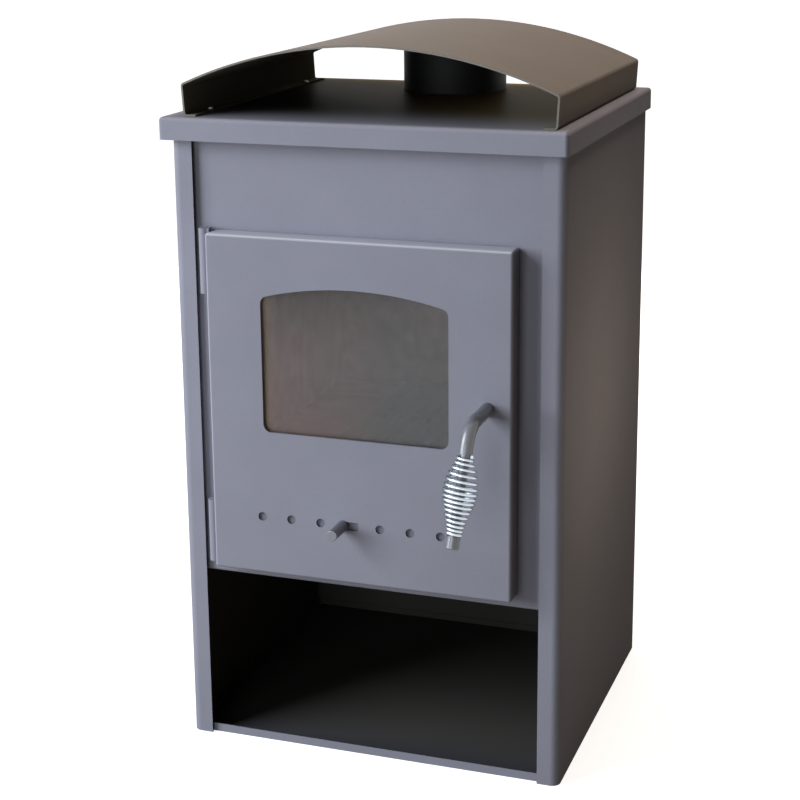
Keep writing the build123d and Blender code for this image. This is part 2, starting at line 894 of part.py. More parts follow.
with BuildPart() as rope_retainer:
    with BuildSketch(front_plane(rope_front + retainer_lip)):
        add(door_ring(rope_width, retainer_sheet, rope_radius, rope_radius - retainer_sheet))
    extrude(amount=rope_front + retainer_lip - door_inner)
    with BuildSketch(front_plane(rope_front)):
        add(door_ring(0, rope_width, door_edge - door_sheet, rope_radius))
    extrude(amount=retainer_sheet)
save(rope_retainer, "rope_retainer")


# Air control: a slider plate in two rails, and the knob that moves it
slider_front = door_inner + fit_gap
slider_back = slider_front + slider_thickness
slider_length = 2 * air_holes_each_side * air_pitch + 2 * slider_end
with BuildPart() as slider_rails:
    lip_front = slider_back + fit_gap
    lip_back = lip_front + air_rail_sheet
    foot_back = door_inner + air_rail_sheet
    edge_rise = slider_width / 2 + fit_gap
    foot_rise = edge_rise + air_rail_foot
    step_rise = edge_rise + air_rail_sheet
    lip_rise = step_rise - air_rail_lip
    for side in (-1, 1):
        with BuildSketch(Plane.YZ.offset(air_middle - slider_length / 2)):
            with BuildLine():
                Polyline(
                    (door_inner, air_height + side * edge_rise),
                    (door_inner, air_height + side * foot_rise),
                    (foot_back, air_height + side * foot_rise),
                    (foot_back, air_height + side * step_rise),
                    (lip_back, air_height + side * step_rise),
                    (lip_back, air_height + side * lip_rise),
                    (lip_front, air_height + side * lip_rise),
                    (lip_front, air_height + side * edge_rise),
                    close=True,
                )
            make_face()
        extrude(amount=slider_length)
save(slider_rails, "slider_rails")

knob_x = slot_middle - air_travel / 2
rivet_radius = knob_neck_radius - sheet
with BuildPart() as air_slider:
    with BuildSketch(front_plane(slider_back)):
        with Locations((air_middle - air_travel / 2, air_height)):
            Rectangle(slider_length, slider_width)
        with Locations(*[(x - air_travel, air_height) for x in hole_columns]):
            Circle(air_hole_radius, mode=Mode.SUBTRACT)
        with Locations((knob_x, air_height)):
            Circle(rivet_radius, mode=Mode.SUBTRACT)
    extrude(amount=slider_thickness)
save(air_slider, "air_slider")

with BuildPart() as air_knob:
    with BuildSketch(front_plane(door_face - fit_gap)):
        with Locations((knob_x, air_height)):
            Circle(knob_radius)
    extrude(amount=knob_length)
    fillet(air_knob.faces().sort_by(Axis.Y)[0].edges(), knob_edge)
    with BuildSketch(front_plane(slider_front)):
        with Locations((knob_x, air_height)):
            Circle(knob_neck_radius)
    extrude(amount=slider_front - door_face + fit_gap)
    with BuildSketch(front_plane(slider_back + knob_rivet)):
        with Locations((knob_x, air_height)):
            Circle(rivet_radius)
    extrude(amount=knob_rivet + slider_thickness)
    with BuildSketch(front_plane(slider_back + knob_rivet)):
        with Locations((knob_x, air_height)):
            Circle(knob_neck_radius)
    extrude(amount=knob_rivet)
save(air_knob, "air_knob")


# Handle: a bush in the door, and a bent rod whose grip is turned down for the spring
bush_back = door_inner + bush_length
with BuildPart() as handle_bush:
    with BuildSketch(front_plane(bush_back)):
        with Locations((handle_x, handle_z)):
            Circle(rod_radius + bush_wall)
            Circle(rod_radius + running_gap, mode=Mode.SUBTRACT)
    extrude(amount=bush_length)
save(handle_bush, "handle_bush")

tilt = math.radians(handle_tilt)
lean = math.radians(handle_lean)
grip_way = Vector(-math.sin(lean) * math.cos(tilt), -math.sin(tilt), -math.cos(lean) * math.cos(tilt))
handle_corner = Vector(handle_x, door_face - handle_reach, handle_z)
rod_back = bush_back + fit_gap
cam_front = panel_back + cam_behind_panel
thread_front = cam_front + cam_thickness
thread_end = thread_front + latch_washer_thickness + latch_nut_height + shaft_end


def grip_plane(distance):
    return Plane(origin=handle_corner + grip_way * distance, x_dir=(1, 0, 0), z_dir=grip_way)


with BuildPart() as handle_rod:
    with BuildLine() as rod_path:
        FilletPolyline(
            (handle_x, rod_back, handle_z),
            handle_corner,
            handle_corner + grip_way * grip_start,
            radius=handle_bend,
        )
    with BuildSketch(front_plane(rod_back)):
        with Locations((handle_x, handle_z)):
            Circle(rod_radius)
    sweep(path=rod_path.wires()[0])
    with BuildSketch(grip_plane(grip_start)):
        Circle(grip_core_radius)
    extrude(amount=spring_length)
    with BuildSketch(grip_plane(grip_start + spring_length)):
        Circle(rod_radius)
    extrude(amount=handle_drop - grip_start - spring_length)
    round_edges = handle_rod.edges().filter_by(GeomType.CIRCLE)
    fillet(round_edges.sort_by_distance(handle_corner + grip_way * handle_drop)[0], tip_edge)
    with BuildSketch(front_plane(thread_front)):
        with Locations((handle_x, handle_z)):
            Circle(shaft_radius)
    extrude(amount=thread_front - rod_back)
    with BuildSketch(front_plane(thread_end)):
        with Locations((handle_x, handle_z)):
            Circle(thread_radius)
    extrude(amount=thread_end - thread_front)
save(handle_rod, "handle_rod")


# Grip spring: one wire wound as a barrel, its turns close at both ends and widest above the middle
spring_inset = spring_wire / 2 + fit_gap
spring_end_radius = grip_core_radius + spring_inset
wound_length = spring_length - 2 * spring_inset
spring_base = grip_plane(grip_start + spring_inset)


def spring_point(u):
    swell = math.sin(math.pi * u**spring_belly_shift) ** 2
    radius = spring_end_radius + (spring_belly_radius - spring_end_radius) * swell
    climb = (
        u
        - spring_pitch_wave * math.sin(4 * math.pi * u) / (4 * math.pi)
        - spring_pitch_swing * math.sin(2 * math.pi * u) / (2 * math.pi)
        + spring_pitch_lean * (1 - math.cos(2 * math.pi * u)) / (2 * math.pi)
    )
    turn = 2 * math.pi * spring_turns * u
    return spring_base.from_local_coords(
        Vector(radius * math.cos(turn), -radius * math.sin(turn), wound_length * climb)
    )


def spring_way(u):
    step = 0.0001
    return (spring_point(min(u + step, 1)) - spring_point(max(u - step, 0))).normalized()


quarter_turns = 4 * spring_turns
with BuildPart() as handle_spring:
    with BuildLine() as spring_path:
        for quarter in range(quarter_turns):
            start = spring_point(quarter / quarter_turns)
            end = spring_point((quarter + 1) / quarter_turns)
            start_way = spring_way(quarter / quarter_turns)
            end_way = spring_way((quarter + 1) / quarter_turns)
            chord = end - start
            ways = start_way + end_way
            leading = ways.dot(ways) - 4
            middle = chord.dot(ways)
            reach = (middle - math.sqrt(middle**2 - leading * chord.dot(chord))) / leading
            joint = (start + start_way * reach + end - end_way * reach) * 0.5
            joint_way = end - end_way * reach - start - start_way * reach
            TangentArc(start, joint, tangent=start_way)
            TangentArc(joint, end, tangent=joint_way)
    with BuildSketch(Plane(origin=spring_point(0), z_dir=spring_way(0))):
        Circle(spring_wire / 2)
    sweep(path=spring_path.wires()[0])
save(handle_spring, "handle_spring")

samples_each_turn = 40
sample_count = samples_each_turn * spring_turns
trace = [spring_point(k / sample_count) for k in range(sample_count + 1)]
spring_gap = min(
    (trace[k + lag] - trace[k]).length
    for lag in range(samples_each_turn // 2, samples_each_turn * 3 // 2)
    for k in range(len(trace) - lag)
)
print("least gap between the spring's turns", round(spring_gap - spring_wire, 2))
print("tightest arc of the spring", round(min(edge.radius for edge in spring_path.edges()), 2))


# Latch on the inner end of the shaft: spacer, cam, washer and nut, and the keeper beside the doorway
with BuildPart() as latch_spacer:
    with BuildSketch(front_plane(cam_front)):
        with Locations((handle_x, handle_z)):
            Circle(shaft_radius + spacer_wall)
            Circle(shaft_radius, mode=Mode.SUBTRACT)
    extrude(amount=cam_front - rod_back)
save(latch_spacer, "latch_spacer")

with BuildPart() as latch_cam:
    with BuildSketch(front_plane(thread_front)):
        with Locations((handle_x, handle_z)):
            Circle(cam_radius)
        with Locations((handle_x + cam_reach, handle_z)):
            Circle(cam_nose_radius)
        make_hull()
        with Locations((handle_x, handle_z)):
            Circle(shaft_radius, mode=Mode.SUBTRACT)
    extrude(amount=cam_thickness)
save(latch_cam, "latch_cam")

with BuildPart() as latch_washer:
    with BuildSketch(front_plane(thread_front + latch_washer_thickness)):
        with Locations((handle_x, handle_z)):
            Circle(latch_washer_radius)
            Circle(thread_radius, mode=Mode.SUBTRACT)
    extrude(amount=latch_washer_thickness)
save(latch_washer, "latch_washer")

with BuildPart() as latch_nut:
    with BuildSketch(front_plane(thread_front + latch_washer_thickness + latch_nut_height)):
        with Locations((handle_x, handle_z)):
            RegularPolygon(latch_nut_width / 2, 6, major_radius=False)
            Circle(thread_radius, mode=Mode.SUBTRACT)
    extrude(amount=latch_nut_height)
save(latch_nut, "latch_nut")

with BuildPart() as latch_keeper:
    with BuildSketch(front_plane(panel_back + keeper_thickness)):
        with Locations((doorway_right + keeper_width / 2, handle_z)):
            RectangleRounded(keeper_width, keeper_height, sheet)
    extrude(amount=keeper_thickness)
save(latch_keeper, "latch_keeper")
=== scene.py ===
import json
import math

import bmesh
import bpy
from mathutils import Matrix, Vector


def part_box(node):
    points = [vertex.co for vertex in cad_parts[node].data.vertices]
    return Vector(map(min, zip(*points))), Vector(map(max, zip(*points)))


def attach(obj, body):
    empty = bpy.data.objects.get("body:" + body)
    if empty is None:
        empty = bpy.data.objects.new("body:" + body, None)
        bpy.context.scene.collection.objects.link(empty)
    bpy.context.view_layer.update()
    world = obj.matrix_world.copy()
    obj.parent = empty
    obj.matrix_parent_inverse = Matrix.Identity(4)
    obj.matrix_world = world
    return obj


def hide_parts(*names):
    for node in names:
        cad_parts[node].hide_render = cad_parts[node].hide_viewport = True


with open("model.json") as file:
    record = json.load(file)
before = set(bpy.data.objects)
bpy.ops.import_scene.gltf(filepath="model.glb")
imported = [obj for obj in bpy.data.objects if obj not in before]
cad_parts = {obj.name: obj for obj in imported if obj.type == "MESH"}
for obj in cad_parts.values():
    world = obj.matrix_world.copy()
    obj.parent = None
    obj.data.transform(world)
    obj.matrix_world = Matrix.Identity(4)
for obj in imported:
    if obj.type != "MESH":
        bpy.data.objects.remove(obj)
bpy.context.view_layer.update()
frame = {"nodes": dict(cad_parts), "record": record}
nodes = frame["nodes"]
slotOf = {row["node"]: row["material_slot"] for row in frame["record"]["subparts"]}
print("frame", len(nodes), "nodes")

scene = bpy.context.scene
scene.view_settings.view_transform = "Standard"


# Camera, to the right of the stove and above its top plate; angles in degrees
shot = {
    "place": (0.633794, -1.881826, 0.945544),
    "yaw": 19.365,
    "pitch": -14.06,
    "roll": -0.5,
    "sensor": 36,
    "lens": 80.304,
    "shiftY": -0.09375,
}
yaw, pitch, roll = (math.radians(shot[key]) for key in ("yaw", "pitch", "roll"))
level = Vector((math.cos(yaw), math.sin(yaw), 0))
ahead = Vector((-math.sin(yaw), math.cos(yaw), 0))
forward = ahead * math.cos(pitch) + Vector((0, 0, math.sin(pitch)))
upright = level.cross(forward)
right = level * math.cos(roll) + upright * math.sin(roll)
camera = bpy.data.objects.new("camera", bpy.data.cameras.new("camera"))
camera.data.sensor_width = shot["sensor"]
camera.data.lens = shot["lens"]
camera.data.shift_y = shot["shiftY"]
turn = Matrix((right, right.cross(forward), -forward)).transposed()
camera.matrix_world = Matrix.Translation(shot["place"]) @ turn.to_4x4()
scene.collection.objects.link(camera)
scene.camera = camera
print("camera")


# Node helpers; every colour is written as three numbers
noiseReach = (0.3, 0.7)  # most of a noise lies between these


def newMaterial(name):
    material = bpy.data.materials.new(name)
    material.use_nodes = True
    tree = material.node_tree
    return material, tree, tree.nodes["Principled BSDF"]


def feed(tree, node, inputs):
    for key, value in inputs.items():
        socket = node.inputs[key]
        if isinstance(value, bpy.types.NodeSocket):
            tree.links.new(value, socket)
        elif socket.type == "RGBA":
            socket.default_value = (*value, 1)
        else:
            socket.default_value = value


def addNode(tree, kind, inputs=None, **settings):
    node = tree.nodes.new(kind)
    for key, value in settings.items():
        setattr(node, key, value)
    feed(tree, node, inputs or {})
    return node


def place(tree):
    return addNode(tree, "ShaderNodeTexCoord").outputs["Object"]


def noise(tree, where, scale, detail, rough=0.55):
    made = addNode(tree, "ShaderNodeTexNoise", {
        "Vector": where,
        "Scale": scale,
        "Detail": detail,
        "Roughness": rough,
    })
    return made.outputs["Fac"]


def cells(tree, where, scale):
    return addNode(tree, "ShaderNodeTexVoronoi", {"Vector": where, "Scale": scale}).outputs


def ramp(tree, value, stops):
    made = addNode(tree, "ShaderNodeValToRGB", {"Fac": value})
    for element, (position, colour) in zip(made.color_ramp.elements, stops):
        element.position = position
        element.color = (*colour, 1)
    return made.outputs["Color"]


def tint(colour, factor):
    return tuple(min(1, part * factor) for part in colour)


def mottle(tree, value, colour, shades, reach=noiseReach):
    tones = [tint(colour, shade) for shade in shades]
    return ramp(tree, value, list(zip(reach, tones)))


def span(tree, value, low, high, reach=noiseReach):
    made = addNode(tree, "ShaderNodeMapRange", {
        "Value": value,
        "From Min": reach[0],
        "From Max": reach[1],
        "To Min": low,
        "To Max": high,
    })
    return made.outputs["Result"]


# Over its reach, a rise goes from 0 up to its top, and a fall from its top down to 0
def rise(tree, value, reach, top=1.0):
    return span(tree, value, 0.0, top, reach)


def fall(tree, value, reach, top=1.0):
    return span(tree, value, top, 0.0, reach)


def sums(tree, kind, first, second=0.0):
    return addNode(tree, "ShaderNodeMath", {0: first, 1: second}, operation=kind).outputs[0]


def times(tree, first, second):
    return sums(tree, "MULTIPLY", first, second)


def blend(tree, share, first, second, kind="MIX"):
    inputs = {"Factor": share, 6: first, 7: second}
    return addNode(tree, "ShaderNodeMix", inputs, data_type="RGBA", blend_type=kind).outputs[2]


def bump(tree, height, strength, depth):
    inputs = {"Height": height, "Strength": strength, "Distance": depth}
    return addNode(tree, "ShaderNodeBump", inputs).outputs["Normal"]


def pitted(tree, where, scale, detail, strength, depth):
    return bump(tree, noise(tree, where, scale, detail), strength, depth)


def axes(tree, vector):
    return addNode(tree, "ShaderNodeSeparateXYZ", {"Vector": vector}).outputs


def facingOut(tree, where):
    facing = addNode(tree, "ShaderNodeNewGeometry").outputs["Normal"]
    return axes(tree, where), axes(tree, facing)


# Inside a panel a dark painted shade stands for the shade there, painted a little lighter near
# the mouth where light reaches in
panelInside = {
    "innerShade": (0.062, 0.06, 0.055),
    "mouthLight": (0.05, 0.051, 0.063),
    "nearMouth": (-0.19, -0.08),
    "turned": (0.05, 0.35),
}


def panelShade(tree, where):
    point, facing = facingOut(tree, where)
    outX = times(tree, facing["X"], sums(tree, "SIGN", point["X"]))
    outY = times(tree, facing["Y"], sums(tree, "SIGN", point["Y"]))
    # painted shade on inward faces, painted lighter towards the mouth
    outer = rise(tree, sums(tree, "ADD", outX, outY), panelInside["turned"])
    nearMouth = fall(tree, point["Y"], panelInside["nearMouth"])
    shadeTone = blend(tree, times(tree, nearMouth, nearMouth), panelInside["innerShade"], panelInside["mouthLight"])
    return outer, shadeTone


# The canopy's coat is warmer; beneath it and on most of its feet a drab painted shade stands for
# the shade there
canopyCoat = {
    "coat": (0.232, 0.217, 0.208),
    "shadeTone": (0.16, 0.155, 0.125),
    "middle": 0.003,
    "turned": (-0.1, 0.1),
    "foot": (0.707, 0.709),
    "footShare": 0.2,
}


def underCanopy(tree, where):
    point, facing = facingOut(tree, where)
    side = sums(tree, "SIGN", sums(tree, "SUBTRACT", point["X"], canopyCoat["middle"]))
    outside = sums(tree, "ADD", times(tree, facing["X"], side), facing["Z"])
    # painted shade on faces turned in or down, and on the feet
    outer = rise(tree, outside, canopyCoat["turned"])
    above = span(tree, point["Z"], canopyCoat["footShare"], 1, canopyCoat["foot"])
    return times(tree, outer, above), canopyCoat["shadeTone"]


# Between the canopy's legs the plate's top has a black painted shade for the canopy's shadow,
# fading out towards the front edge, and a brown painted sheen towards the right rear corner
plateShadeSheen = {
    "black": (0.02, 0.019, 0.017),
    "paintedLight": (0.22, 0.16, 0.07),
    "edge": (0.198, 0.202),
    "front": (-0.2, -0.06),
    "frontCurve": 2.0,
    "corner": (-0.12, 0.3),
    "paint": {"shadeRough": 0.45, "shine": 0.0045, "shineColour": (1.0, 0.84, 0.6)},
}


def paintedPlateLight(tree, where):
    point, facing = facingOut(tree, where)
    off = sums(tree, "ABSOLUTE", sums(tree, "SUBTRACT", point["X"], canopyCoat["middle"]))
    between = fall(tree, off, plateShadeSheen["edge"])
    ahead = fall(tree, point["Y"], plateShadeSheen["front"])
    behind = sums(tree, "SUBTRACT", 1.0, sums(tree, "POWER", ahead, plateShadeSheen["frontCurve"]))
    # black painted shade under the canopy, fading out towards the front edge; brown painted sheen
    # towards the right rear
    paintedLight = times(tree, times(tree, between, behind), facing["Z"])
    sheenShare = rise(tree, sums(tree, "ADD", point["X"], point["Y"]), plateShadeSheen["corner"])
    shadeTone = blend(tree, sheenShare, plateShadeSheen["black"], plateShadeSheen["paintedLight"])
    return sums(tree, "SUBTRACT", 1.0, paintedLight), shadeTone


# The door's top and hinge-side folds have a paler painted highlight, where the light falls on
# them
doorFoldHighlight = {
    "paintedHighlight": (0.52, 0.53, 0.6),
    "top": (0.57, 0.58),
    "topTurned": (0.2, 0.8),
    "topHighlight": 0.85,
    "side": (-0.165, -0.16),
    "sideTurned": (-0.8, -0.2),
    "sideHighlight": 0.4,
}


def paintedFoldHighlight(tree, where):
    point, facing = facingOut(tree, where)
    # painted highlight on the upward and left-facing folds
    upward = rise(tree, facing["Z"], doorFoldHighlight["topTurned"])
    top = times(tree, upward, rise(tree, point["Z"], doorFoldHighlight["top"], doorFoldHighlight["topHighlight"]))
    sideways = fall(tree, facing["X"], doorFoldHighlight["sideTurned"])
    side = times(tree, sideways, fall(tree, point["X"], doorFoldHighlight["side"], doorFoldHighlight["sideHighlight"]))
    return sums(tree, "MAXIMUM", top, side), doorFoldHighlight["paintedHighlight"]


# Sprayed stove paint
stovePaint = {
    "coat": (0.234, 0.239, 0.286),
    "cloud": (7, 3),
    "shades": (0.95, 1.05),
    "flake": 1400,
    "flakeShare": 0.06,
    "rough": (0.46, 0.55),
    "shadeRough": 0.8,
    "peel": (650, 2, 0.05, 0.0006),
    "shine": 0.001,
    "shineColour": (1, 1, 1),
}


# A paint's painted shade and painted highlight places each come as a share of the surface and a
# colour
def coated(name, inside=None, paintedHighlight=None, **changes):
    paint = {**stovePaint, **changes}
    material, tree, shader = newMaterial(name)
    where = place(tree)
    cloud = noise(tree, where, *paint["cloud"])
    shade = mottle(tree, cloud, paint["coat"], paint["shades"])
    flake = cells(tree, where, paint["flake"])["Color"]
    shade = blend(tree, paint["flakeShare"], shade, flake, "OVERLAY")
    rough = span(tree, cloud, *paint["rough"])
    if paintedHighlight:
        share, pale = paintedHighlight(tree, where)
        shade = blend(tree, share, shade, pale)
    if inside:
        outer, shadeTone = inside(tree, where)
        shade = blend(tree, outer, shadeTone, shade)
        mixed = {"Factor": outer, 2: paint["shadeRough"], 3: rough}
        rough = addNode(tree, "ShaderNodeMix", mixed).outputs[0]
    feed(tree, shader, {
        "Base Color": shade,
        "Roughness": rough,
        "Normal": pitted(tree, where, *paint["peel"]),
        "Specular IOR Level": paint["shine"],
        "Specular Tint": paint["shineColour"],
    })
    return material


# Finishes with one colour in two shades over a fine grain
grainedFinish = {
    "blackPaint": {
        "colour": (0.014, 0.0145, 0.0155),
        "shades": (0.8, 1.25),
        "grain": (30, 4),
        "rough": (0.51, 0.63),
        "pits": (600, 2, 0.08, 0.0005),
        "shine": 0.25,
    },
    "handleSteel": {
        "colour": (0.094, 0.104, 0.124),
        "shades": (0.8, 1.25),
        "grain": (30, 4),
        "rough": (0.24, 0.36),
        "pits": (600, 2, 0.08, 0.0005),
        "shine": 1.0,
    },
    "castIron": {
        "colour": (0.13, 0.155, 0.148),
        "shades": (0.8, 1.25),
        "grain": (90, 2, 0.5),
        "rough": 0.7,
        "pits": (60, 1, 0.15, 0.0015),
        "shine": 0.1,
    },
    "zincSteel": {
        "colour": (0.3, 0.29, 0.28),
        "shades": (0.92, 1.04),
        "grain": (60, 5),
        "rough": (0.336, 0.525),
        "pits": (900, 2, 0.1, 0.0003),
        "metal": 1,
    },
    "chromeWire": {
        "colour": (0.55, 0.6, 0.65),
        "shades": (0.92, 1.04),
        "grain": (60, 5),
        "rough": (0.192, 0.3),
        "pits": (900, 2, 0.05, 0.0003),
        "metal": 1,
    },
}


def grained(name):
    finish = grainedFinish[name]
    material, tree, shader = newMaterial(name)
    where = place(tree)
    grain = noise(tree, where, *finish["grain"])
    rough = finish["rough"]
    feed(tree, shader, {
        "Base Color": mottle(tree, grain, finish["colour"], finish["shades"]),
        "Roughness": span(tree, grain, *rough) if isinstance(rough, tuple) else rough,
        "Normal": pitted(tree, where, *finish["pits"]),
        "Specular IOR Level": finish.get("shine", 0.5),
        "Metallic": finish.get("metal", 0),
    })
    return material


# Hazy glass, stained brown at its left and foot, darker along the arched top, and with a narrow
# yellow-brown painted reflection along its left edge that lifts that edge's shadow; reaches are
# measured from the pane's left, foot or top edge
windowGlass = {
    "haze": (0.112, 0.113, 0.114),
    "cloud": (9, 2),
    "stain": (0.2, 0.122, 0.112),
    "stainShares": (0.45, 1.0),
    "stainLeft": (0.03, 0.16),
    "stainFoot": (0.05, 0.12),
    "stainFootLeft": (0.08, 0.15),
    "topTone": (0.055, 0.05, 0.046),
    "topReach": (-0.1, -0.02),
    "topShare": 0.75,
    "sootAndEdgeLight": (0.34, 0.25, 0.16),
    "edgeLightLeft": (0.012, 0.026),
    "veil": (0.34, 0.38),
    "rough": 0.08,
    "ior": 1.6,
}


def shifted(reach, start):
    return tuple(start + step for step in reach)


def stoveGlass(name):
    material, tree, shader = newMaterial(name)
    where = place(tree)
    low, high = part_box("window_glass")
    point = axes(tree, where)
    cloud = noise(tree, where, *windowGlass["cloud"])
    left = fall(tree, point["X"], shifted(windowGlass["stainLeft"], low[0]))
    foot = fall(tree, point["Z"], shifted(windowGlass["stainFoot"], low[2]))
    footLeft = fall(tree, point["X"], shifted(windowGlass["stainFootLeft"], low[0]))
    stained = sums(tree, "MAXIMUM", left, times(tree, foot, footLeft))
    stained = times(tree, span(tree, cloud, *windowGlass["stainShares"]), stained)
    topReach = shifted(windowGlass["topReach"], high[2])
    topDarker = rise(tree, point["Z"], topReach, windowGlass["topShare"])
    # a narrow yellow-brown painted reflection along the left edge, lifting the shadow the door
    # skin casts there
    edgeLit = fall(tree, point["X"], shifted(windowGlass["edgeLightLeft"], low[0]))
    shade = blend(tree, stained, windowGlass["haze"], windowGlass["stain"])
    shade = blend(tree, topDarker, shade, windowGlass["topTone"])
    feed(tree, shader, {
        "Base Color": blend(tree, edgeLit, shade, windowGlass["sootAndEdgeLight"]),
        "Alpha": span(tree, cloud, *windowGlass["veil"]),
        "Roughness": windowGlass["rough"],
        "IOR": windowGlass["ior"],
    })
    return material


# Glass-fibre rope and tape
gasketWeave = {
    "colour": (0.1, 0.1, 0.095),
    "cell": 620,
    "shades": (1.5, 0.4),
    "reach": (0.0, 0.8),
    "strength": 0.5,
    "depth": 0.0008,
    "rough": 0.95,
    "sheen": 0.2,
}


def wovenGasket(name):
    material, tree, shader = newMaterial(name)
    weave = cells(tree, place(tree), gasketWeave["cell"])["Distance"]
    colour, shades, reach = (gasketWeave[key] for key in ("colour", "shades", "reach"))
    feed(tree, shader, {
        "Base Color": mottle(tree, weave, colour, shades, reach),
        "Roughness": gasketWeave["rough"],
        "Normal": bump(tree, weave, gasketWeave["strength"], gasketWeave["depth"]),
        "Sheen Weight": gasketWeave["sheen"],
    })
    return material


# Firebrick, flecked and sooty; the shelf over the fire has the same crust
brickCrust = {
    "brick": (0.62, 0.42, 0.37),
    "shelf": (0.72, 0.38, 0.34),
    "shades": (0.72, 1.15),
    "grain": (45, 2, 0.5),
    "fleck": 120,
    "fleckShare": 0.05,
    "sootCloud": (11, 4),
    "sootStops": [(0.4, (0.62, 0.55, 0.5)), (0.65, (1, 1, 1))],
    "pits": (40, 1, 0.15, 0.002),
    "rough": 0.92,
    "shine": 0.05,
}


def firebrick(name, colour):
    material, tree, shader = newMaterial(name)
    where = place(tree)
    grain = noise(tree, where, *brickCrust["grain"])
    shade = mottle(tree, grain, colour, brickCrust["shades"])
    fleck = cells(tree, where, brickCrust["fleck"])["Color"]
    shade = blend(tree, brickCrust["fleckShare"], shade, fleck, "SOFT_LIGHT")
    sootAndEdgeLight = ramp(tree, noise(tree, where, *brickCrust["sootCloud"]), brickCrust["sootStops"])
    feed(tree, shader, {
        "Base Color": blend(tree, 1.0, shade, sootAndEdgeLight, "MULTIPLY"),
        "Roughness": brickCrust["rough"],
        "Normal": pitted(tree, where, *brickCrust["pits"]),
        "Specular IOR Level": brickCrust["shine"],
    })
    return material


# One finish for each slot, and others for single nodes
looks = {
    "grey_paint": coated("greyPaint"),
    "black_paint": grained("blackPaint"),
    "cast_iron": grained("castIron"),
    "zinc_steel": grained("zincSteel"),
    "chrome": grained("chromeWire"),
    "glass": stoveGlass("stoveGlass"),
    "gasket": wovenGasket("wovenGasket"),
    "firebrick": firebrick("firebrick", brickCrust["brick"]),
}
sliderShade = 0.72  # the air slider's coat is darker
# The shell, canopy and top plate carry painted shade, the plate also a painted sheen, and the
# door painted highlights on its folds
shellPaint = coated("shellPaint", panelShade)
canopyPaint = coated("canopyPaint", underCanopy, coat=canopyCoat["coat"])
platePaint = coated("platePaint", paintedPlateLight, **plateShadeSheen["paint"])
doorPaint = coated("doorPaint", paintedHighlight=paintedFoldHighlight)
sliderPaint = coated("sliderPaint", coat=tint(stovePaint["coat"], sliderShade))
handleSteel = grained("handleSteel")
shelfSteel = firebrick("shelfSteel", brickCrust["shelf"])
special = {
    "handle_rod": handleSteel,
    "air_knob": handleSteel,
    "shelf": shelfSteel,
    "door_skin": doorPaint,
    "hinge_washers": looks["grey_paint"],
    "air_slider": sliderPaint,
    "side_panel_left": shellPaint,
    "side_panel_right": shellPaint,
    "back_panel": shellPaint,
    "base_tray": shellPaint,
    "compartment_ceiling": shellPaint,
    "front_panel": shellPaint,
    "canopy": canopyPaint,
    "top_plate": platePaint,
}
for name, node in nodes.items():
    node.data.materials.clear()
    node.data.materials.append(special.get(name) or looks[slotOf[name]])
print("materials", len(bpy.data.materials))


# Pieces that stand for CAD solids; faces meeting at more than the crease angle stay sharp
def newPiece(name, shape, body, slot, crease):
    mesh = bpy.data.meshes.new(name)
    shape.to_mesh(mesh)
    shape.free()
    mesh.shade_smooth()
    mesh.set_sharp_from_angle(angle=math.radians(crease))
    mesh.materials.append(looks[slot])
    piece = bpy.data.objects.new(name, mesh)
    scene.collection.objects.link(piece)
    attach(piece, body)
    return piece


def nodeBox(name):
    return (Vector(corner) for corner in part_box(name))


# Twisted glass-fibre rope in the groove behind the door skin
ropeSize = {
    "radius": 0.004,
    "corner": 0.008,
    "cornerSteps": 6,
    "lobes": 5,
    "lobePoints": 4,
    "groove": 0.14,
    "pitch": 0.04,
    "step": 0.002,
    "weld": 0.00005,
    "crease": 80,
}


def twistedRope(low, high):
    radius, corner, lobes = (ropeSize[key] for key in ("radius", "corner", "lobes"))
    around = lobes * ropeSize["lobePoints"]
    centre = (low + high) / 2
    halfX = (high.x - low.x) / 2 - radius - corner
    halfZ = (high.z - low.z) / 2 - radius - corner
    shape = bmesh.new()
    bmesh.ops.create_circle(shape, segments=around, radius=radius)
    for vert in shape.verts:
        lobe = math.cos(lobes * math.atan2(vert.co.y, vert.co.x))
        vert.co *= 1 - ropeSize["groove"] * (0.5 - 0.5 * lobe)
    turned = Matrix.Rotation(math.pi / 2, 4, "Y")
    spot = Matrix.Translation(centre + Vector((-halfX, 0, -halfZ - corner)))
    bmesh.ops.transform(shape, matrix=spot @ turned, verts=shape.verts)
    ring = shape.verts[:] + shape.edges[:]
    quarter = math.pi / 2
    for side, (cornerX, cornerZ) in enumerate([(1, -1), (1, 1), (-1, 1), (-1, -1)]):
        heading = Matrix.Rotation(-side * quarter, 3, "Y") @ Vector((1, 0, 0))
        length = 2 * (halfX if side % 2 == 0 else halfZ)
        steps = round(length / ropeSize["step"])
        turns = round(length / ropeSize["pitch"] * lobes) / lobes
        points = [item.co for item in ring if isinstance(item, bmesh.types.BMVert)]
        middle = sum(points, Vector()) / around
        run = bmesh.ops.spin(shape, geom=ring, cent=middle, axis=heading,
                             dvec=heading * length / steps, angle=turns * 2 * math.pi,
                             steps=steps, use_merge=False)
        hub = centre + Vector((cornerX * halfX, 0, cornerZ * halfZ))
        bend = bmesh.ops.spin(shape, geom=run["geom_last"], cent=hub, axis=(0, 1, 0),
                              dvec=(0, 0, 0), angle=-quarter,
                              steps=ropeSize["cornerSteps"], use_merge=False)
        ring = bend["geom_last"]
    bmesh.ops.remove_doubles(shape, verts=shape.verts, dist=ropeSize["weld"])
    bmesh.ops.recalc_face_normals(shape, faces=shape.faces)
    return shape


rope = twistedRope(*nodeBox("door_rope"))
doorRope = newPiece("doorRope", rope, "door", "gasket", ropeSize["crease"])
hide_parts("door_rope")
print("door rope")


